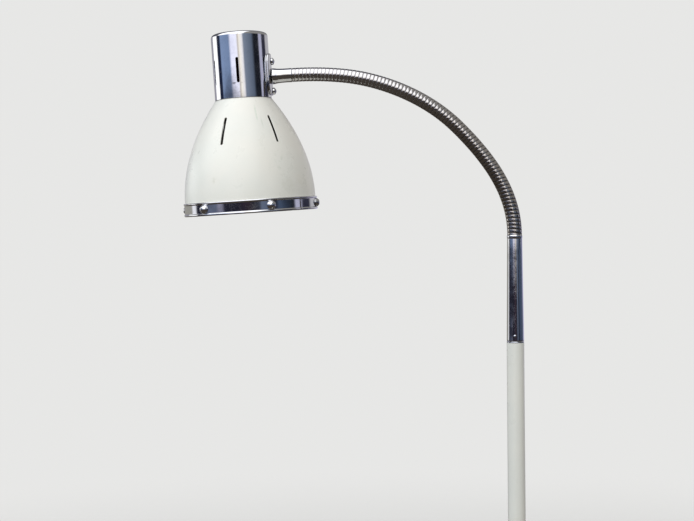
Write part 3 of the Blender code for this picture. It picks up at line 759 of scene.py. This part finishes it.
# a slot is its width, then the heights of its lower and upper tips
housingSize = {
    "radius": 32.5, "tall": 75, "edge": 4.0, "wall": 1.0, "soft": 0.25, "round": 144,
    "slots": 6, "slot": (2.9, 17, 45.2), "slotTurn": -3, "lid": (27.6, 24, 18, 12, 6, 2, 0),
}
shadeSize = {
    "top": 32.5, "mouth": 75.1, "deep": 115, "skirt": 128.5, "hole": 20.1, "wall": 1.2, "soft": 0.3, "round": 180,
    "slots": 6, "slot": (3.1, -53, -22), "slotTurn": -21.5,
}
rimSize = {"radius": 76.9, "bead": 0.7, "wall": 1.5, "top": -115, "tall": 15, "round": 180}
# the knobs on the rim: (radius, height above the band, softness) of each corner
knobSize = {
    "count": 6, "first": 22, "round": 48,
    "outline": [(0, 0, 0), (5.1, 0, 0.2), (5.1, 0.8, 0.5), (4.0, 2.5, 0.8), (2.4, 4.0, 1.0), (0, 4.4, 0)],
}


def buildHousing(size):
    width, low, high = size["slot"]
    radius, edge, tall = size["radius"], size["edge"], size["tall"]
    walls = np.concatenate([[0.3, 0.9, 2.0], np.linspace(4, low - 2.5, 5), openingRows(low, high, width / 2, 9),
                            np.linspace(high + 2.5, tall - edge - 0.8, 7)])
    walls = np.stack([radius + 0 * walls, walls], -1)
    bend = np.radians(np.linspace(0, 90, 11))
    rounded = np.stack([radius - edge + edge * np.cos(bend), tall - edge + edge * np.sin(bend)], -1)
    inner = np.array(size["lid"])
    lid = np.stack([inner, tall + 0 * inner], -1)
    opening = {"count": size["slots"], "width": width, "low": low, "high": high, "first": size["slotTurn"],
               "innerRadius": 30, "flip": False}
    outline = np.concatenate([walls, rounded, lid])
    cup = openedShell("housing_cup", outline, head, "chrome", size["round"], opening, size["wall"], size["soft"])
    install(cup, "head", "chrome", "socket_housing")


def buildShade(size):
    # the bell's radius is the mouth's less the flare times the square of what is left of the depth; the outline runs
    # from the lid's hole down, so its faces are flipped
    width, low, high = size["slot"]
    depths = np.concatenate([np.linspace(0.9, -high - 2.2, 8), -openingRows(low, high, width / 2, 10)[::-1],
                             np.linspace(-low + 2.2, size["deep"], 22)])
    bell = size["mouth"] - (size["mouth"] - size["top"]) * (1 - depths / size["deep"]) ** 2
    bell = np.stack([bell, -depths], -1)
    lid = np.array([(size["hole"], 0), (24, 0), (30, 0), (size["top"] - 0.7, 0), (size["top"] - 0.15, -0.2)])
    skirt = np.array([(size["mouth"], -size["deep"] - 4), (size["mouth"], -size["skirt"])])
    outline = np.concatenate([lid, bell, skirt])
    opening = {"count": size["slots"], "width": width, "low": low, "high": high, "first": size["slotTurn"],
               "innerRadius": 30, "flip": True}
    bellPiece = openedShell("shade_bell", outline, head, "shadeEnamel", size["round"], opening, size["wall"],
                            size["soft"])
    # the second finish darkens the inner skin almost to black: painted shade inside the bell
    bellPiece.data.materials.append(finishes["insideShadedEnamel"])  # the wall's inner skin takes the second finish
    bellPiece.modifiers["wall"].material_offset = 1
    install(bellPiece, "head", "enamel", "shade")


def buildRim(size, knobs):
    out, bead, top, low = size["radius"], size["bead"], size["top"], size["top"] - size["tall"]
    inner = out - size["wall"]
    band = [(inner, low + 0.3, 0.3), (inner + 0.4, low, 0.3), (out - 0.5, low, 0.6), (out, low + 0.9, 0.6),
            (out - 0.1, low + 2.0, 0.6), (out - bead, low + 2.7, 0.8), (out - bead, top - 2.5, 0.8),
            (out - 0.1, top - 1.8, 0.6), (out, top - 0.8, 0.6), (out - 0.5, top, 0.5), (inner, top, 0.3)]
    install(turned("rim_band", band, head, "chrome", size["round"]), "head", "chrome", "rim_ring")
    seat = out - bead + 0.05
    knob = [(radius, seat + height, soft) for radius, height, soft in knobs["outline"]]
    for number in range(knobs["count"]):
        azimuth = knobs["first"] + 360 * number / knobs["count"]
        place = sideSeat(head, azimuth, (top + low) / 2)
        made = turned(f"rim_knob_{number + 1}", knob, place, "chrome", knobs["round"])
        install(made, "head", "chrome", f"rim_screw_{number + 1}")


buildHousing(housingSize)
buildShade(shadeSize)
buildRim(rimSize, knobSize)
print("housing, shade and rim built")


holderSize = {
    "round": 72,
    "outline": [(0, 19, 0), (14.5, 19, 0.3), (14.5, -31, 0.5), (19.3, -31, 1.2), (19.3, 0.3, 0.2), (22.5, 0.3, 0.4),
                (22.5, 4, 0.5), (19.3, 5, 0.4), (19.3, 12, 1), (13, 22, 1.5), (13, 43, 1), (11, 46.5, 1),
                (8, 47.5, 0.8), (2.8, 47.5, 0.4), (2.8, 37, 0.2), (0, 37, 0)],
}
clampSize = {
    "round": 72,
    "outline": [(19.7, -1.5, 0.3), (26, -1.5, 0.5), (26, -5.2, 0.8), (24.4, -8, 0.8), (19.7, -8, 0.5)],
}
bulbSize = {
    "round": 72, "radius": 30, "middle": -62, "ballTo": 28, "rings": 22,
    "neck": [(20.0, -38.6, 3), (15.4, -29, 4), (12.2, -18, 3), (11.8, -12, 2), (11.8, 5, 0.5), (0, 5, 0)],
}


def buildLampholder(holder, clamp, bulb):
    body = turned("lampholder", holder["outline"], head, "bakelite", holder["round"])
    install(body, "head", "bakelite", "lampholder_body")
    ring = turned("clamp_ring", clamp["outline"], head, "bakelite", clamp["round"])
    install(ring, "head", "bakelite", "shade_ring")
    # the globe is a ball from its lowest point up to where the neck leaves it
    radius, middle = bulb["radius"], bulb["middle"]
    ball = np.radians(np.linspace(-90, bulb["ballTo"], bulb["rings"]))[1:]
    globe = [(0, middle - radius, 0)] + [(radius * math.cos(t), middle + radius * math.sin(t), 1.2) for t in ball]
    glass = turned("bulb", globe + bulb["neck"], head, "opal", bulb["round"], sharp=60)
    install(glass, "head", "bulb_glass", "bulb_glass")


buildLampholder(holderSize, clampSize, bulbSize)
print("lampholder and bulb built")


# the frame's own nodes that stay, each with its finish
keptNodes = {
    "iron": ["base_weight"],
    "steel": ["foot_washer", "foot_nut", "pole_stud", "pole_plug", "sleeve_spigot", "neck_nipple", "neck_washer",
              "neck_locknut", "holder_bracket", "holder_screw"],
    "brass": ["lampholder_shell", "lampholder_contact", "bulb_cap"],
    "flex": ["pole_lead", "head_lead"],
}
for look, nodes in keptNodes.items():
    for node in nodes:
        mesh = frame["nodes"][node].data
        mesh.materials.clear()
        mesh.materials.append(finishes[look])
print("kept nodes finished")


studio = {
    "backdrop": (0.80, 0.80, 0.79), "ambient": (0.70, 0.705, 0.71), "below": (0.12, 0.117, 0.11),
    "floorTone": (0.74, 0.74, 0.72), "floorFade": (1.4, 5.0),
    # how high each layer of the room starts and ends, as the upward part of a direction
    "highFrom": (0.022, 0.045), "lowFrom": (-0.062, -0.052), "skyFrom": (0.22, 0.34), "underfootFrom": (-0.10, -0.22),
    "skyFront": (-0.20, 0.05), "skyRight": (0.22, 0.42), "softFrom": (-0.35, 0.25),
    # what polished metal sees round the room: (degrees from straight towards the camera, + to the right), tone
    "high": [(-178, (0.30, 0.29, 0.33)), (-133, (0.36, 0.35, 0.40)), (-127, (1.4, 1.4, 1.4)), (-103, (1.4, 1.4, 1.4)),
             (-98, (0.012, 0.018, 0.045)), (-84, (0.012, 0.018, 0.045)), (-79, (0.25, 0.34, 0.54)),
             (-41, (0.21, 0.29, 0.47)), (-33, (1.02, 1.03, 1.24)), (-9, (1.06, 1.06, 1.22)), (-4, (0.62, 0.56, 0.50)),
             (2, (1.10, 1.04, 0.94)), (13, (0.98, 0.95, 0.98)), (19, (0.22, 0.26, 0.34)), (52, (0.11, 0.14, 0.20)),
             (62, (0.010, 0.012, 0.018)), (84, (0.010, 0.012, 0.018)), (89, (0.46, 0.46, 0.60)),
             (101, (0.46, 0.46, 0.60)), (106, (0.03, 0.03, 0.05)), (125, (0.03, 0.03, 0.05)),
             (133, (0.48, 0.47, 0.50)), (178, (0.48, 0.47, 0.50))],
    "low": [(-178, (0.34, 0.33, 0.30)), (-118, (0.34, 0.33, 0.30)), (-114, (0.9, 0.9, 0.95)),
            (-106, (0.9, 0.9, 0.95)), (-101, (0.016, 0.017, 0.028)), (-20, (0.020, 0.019, 0.030)),
            (-10, (0.040, 0.026, 0.040)), (3, (0.036, 0.026, 0.036)),
            (9, (0.025, 0.026, 0.036)), (19, (0.04, 0.045, 0.065)), (23, (0.13, 0.16, 0.23)), (32, (0.11, 0.14, 0.21)),
            (38, (0.018, 0.022, 0.034)), (49, (0.018, 0.022, 0.034)), (54, (0.055, 0.08, 0.135)),
            (76, (0.055, 0.08, 0.135)), (80, (0.03, 0.04, 0.06)), (86, (0.09, 0.11, 0.17)), (116, (0.09, 0.11, 0.17)),
            (124, (0.50, 0.48, 0.66)), (178, (0.50, 0.48, 0.66))],
    "lowest": [(-178, (0.34, 0.33, 0.30)), (-118, (0.34, 0.33, 0.30)), (-114, (1.1, 1.1, 1.15)),
               (-106, (1.1, 1.1, 1.15)), (-102, (0.012, 0.014, 0.03)), (-86, (0.012, 0.014, 0.03)),
               (-80, (0.13, 0.155, 0.23)), (-57, (0.13, 0.155, 0.23)), (-52, (0.28, 0.28, 0.38)),
               (-46, (0.28, 0.28, 0.38)), (-41, (0.015, 0.016, 0.03)), (60, (0.015, 0.016, 0.03)),
               (110, (0.09, 0.11, 0.17)), (124, (0.50, 0.48, 0.66)), (178, (0.50, 0.48, 0.66))],
    "overhead": (1.6, 1.6, 1.65), "overheadBehind": (0.10, 0.10, 0.12),
    "overheadRight": (0.27, 0.26, 0.25), "underfoot": (0.060, 0.050, 0.042),
}


def bandRamp(tree, turn, stops):
    # a colour ramp round the horizon, from straight behind through the left, front and right to behind again
    ramp = addNode(tree, "ValToRGB", {"Fac": turn})
    elements = ramp.color_ramp.elements
    for index, (degrees, tone) in enumerate(stops):
        position = degrees / 360 + 0.5
        element = elements[index] if index < 2 else elements.new(position)
        element.position = position
        element.color = (*tone, 1)
    return ramp.outputs["Color"]


def buildRoom(look):
    # the room as light: plain pale to the camera, soft to dull surfaces, and banded like a real room to polished metal
    world = bpy.data.worlds.new("studio")
    bpy.context.scene.world = world
    world.use_nodes = True
    tree = world.node_tree
    tree.nodes.clear()
    toward = addNode(tree, "TexCoord").outputs["Generated"]
    split = addNode(tree, "SeparateXYZ", {"Vector": toward})
    front = addProduct(tree, split.outputs["Y"], -1.0)
    turn = addNode(tree, "Math", {0: split.outputs["X"], 1: front}, operation="ARCTAN2").outputs[0]
    turn = addNode(tree, "MapRange", {"Value": turn, "From Min": -math.pi, "From Max": math.pi}).outputs["Result"]
    rise = split.outputs["Z"]
    tone = addBlend(tree, addSpan(tree, rise, *look["highFrom"]), bandRamp(tree, turn, look["low"]),
                    bandRamp(tree, turn, look["high"]))
    tone = addBlend(tree, addSpan(tree, rise, *look["lowFrom"]), bandRamp(tree, turn, look["lowest"]), tone)
    sky = addBlend(tree, addSpan(tree, front, *look["skyFront"]), look["overheadBehind"], look["overhead"])
    sky = addBlend(tree, addSpan(tree, split.outputs["X"], *look["skyRight"]), sky, look["overheadRight"])
    tone = addBlend(tree, addSpan(tree, rise, *look["skyFrom"]), tone, sky)
    tone = addBlend(tree, addSpan(tree, rise, *look["underfootFrom"]), tone, look["underfoot"])
    path = addNode(tree, "LightPath")
    soft = addBlend(tree, addSpan(tree, rise, *look["softFrom"]), look["below"], look["ambient"])
    plain = addBlend(tree, path.outputs["Is Camera Ray"], soft, look["backdrop"])
    shown = addBlend(tree, path.outputs["Is Glossy Ray"], plain, tone)
    background = addNode(tree, "Background", {"Color": shown, "Strength": 1.0})
    output = addNode(tree, "OutputWorld")
    tree.links.new(background.outputs[0], output.inputs["Surface"])


def buildFloor(look):
    # a wide pale disc whose tone fades into the backdrop with distance, so that no horizon shows
    rings = np.concatenate([np.linspace(0, 2000, 6), [3000, 5000, 9000]])
    outline = np.stack([rings, 0 * rings - 0.2], -1)
    material, tree, shader, spot = newFinish("pale floor", Roughness=0.7)
    mottle = addSpan(tree, addNoise(tree, spot, 3.0, 4, 0.6), *noiseMiddle)
    tone = addBlend(tree, mottle, look["floorTone"], tuple(0.98 * value for value in look["floorTone"]))
    tree.links.new(tone, shader.inputs["Base Color"])
    finishes["floor"] = material
    far = addNode(tree, "VectorMath", {0: spot}, operation="LENGTH").outputs["Value"]
    clear = addNode(tree, "BsdfTransparent")
    under = addNode(tree, "NewGeometry").outputs["Backfacing"]  # seen from underneath, the floor isn't there
    fade = addNode(tree, "Math", {0: addSpan(tree, far, *look["floorFade"]), 1: under}, operation="MAXIMUM").outputs[0]
    mixed = addNode(tree, "MixShader", {0: fade, 1: shader.outputs[0], 2: clear.outputs[0]})
    tree.links.new(mixed.outputs[0], tree.nodes["Material Output"].inputs["Surface"])
    points = carriedRound(outline, 96)
    quads = gridQuads(len(outline), 96, rowsMeet=False)[:, ::-1]
    floor = makePiece("studio_floor", points, quads, standSeat, "floor", closed=False)
    floor.visible_glossy = False
    floor.visible_diffuse = False


def addLamp(name, place, aim, size, power, tone):
    lamp = bpy.data.lights.new(name, "AREA")
    lamp.shape = "DISK"
    lamp.size, lamp.energy, lamp.color = size, power, tone
    made = bpy.data.objects.new(name, lamp)
    bpy.context.scene.collection.objects.link(made)
    made.location = place
    made.rotation_mode = "QUATERNION"
    made.rotation_quaternion = (Vector(aim) - Vector(place)).to_track_quat("-Z", "Y")
    made.visible_glossy = False


lamps = {
    "key": {"place": (-1.7, -1.5, 2.5), "aim": (-0.25, 0, 1.2), "size": 1.1, "power": 30, "tone": (0.86, 0.93, 1.0)},
    "front": {"place": (-1.0, -2.4, 0.9), "aim": (-0.25, 0, 1.2), "size": 1.2, "power": 9, "tone": (1.0, 0.96, 0.87)},
    "fill": {"place": (1.6, -1.9, 1.5), "aim": (-0.2, 0, 1.0), "size": 1.4, "power": 7, "tone": (1.0, 0.95, 0.84)},
    "back": {"place": (0.9, 2.2, 2.4), "aim": (-0.2, 0, 1.0), "size": 1.2, "power": 14, "tone": (1.0, 1.0, 1.0)},
}

buildRoom(studio)
buildFloor(studio)
for name, lamp in lamps.items():
    addLamp(name, **lamp)

cameraLook = {"place": (-0.193, -1.265, 1.184), "lens": 57.06, "sensor": 36.0, "roll": 0.44}


def addCamera(look):
    camera = bpy.data.cameras.new("camera")
    camera.lens, camera.sensor_width = look["lens"], look["sensor"]
    camera.clip_start, camera.clip_end = 0.01, 100
    made = bpy.data.objects.new("camera", camera)
    bpy.context.scene.collection.objects.link(made)
    made.location = look["place"]
    made.rotation_euler = (math.radians(90), math.radians(look["roll"]), 0)
    bpy.context.scene.camera = made


addCamera(cameraLook)
bpy.context.scene.view_settings.view_transform = "Standard"
print("studio lit")
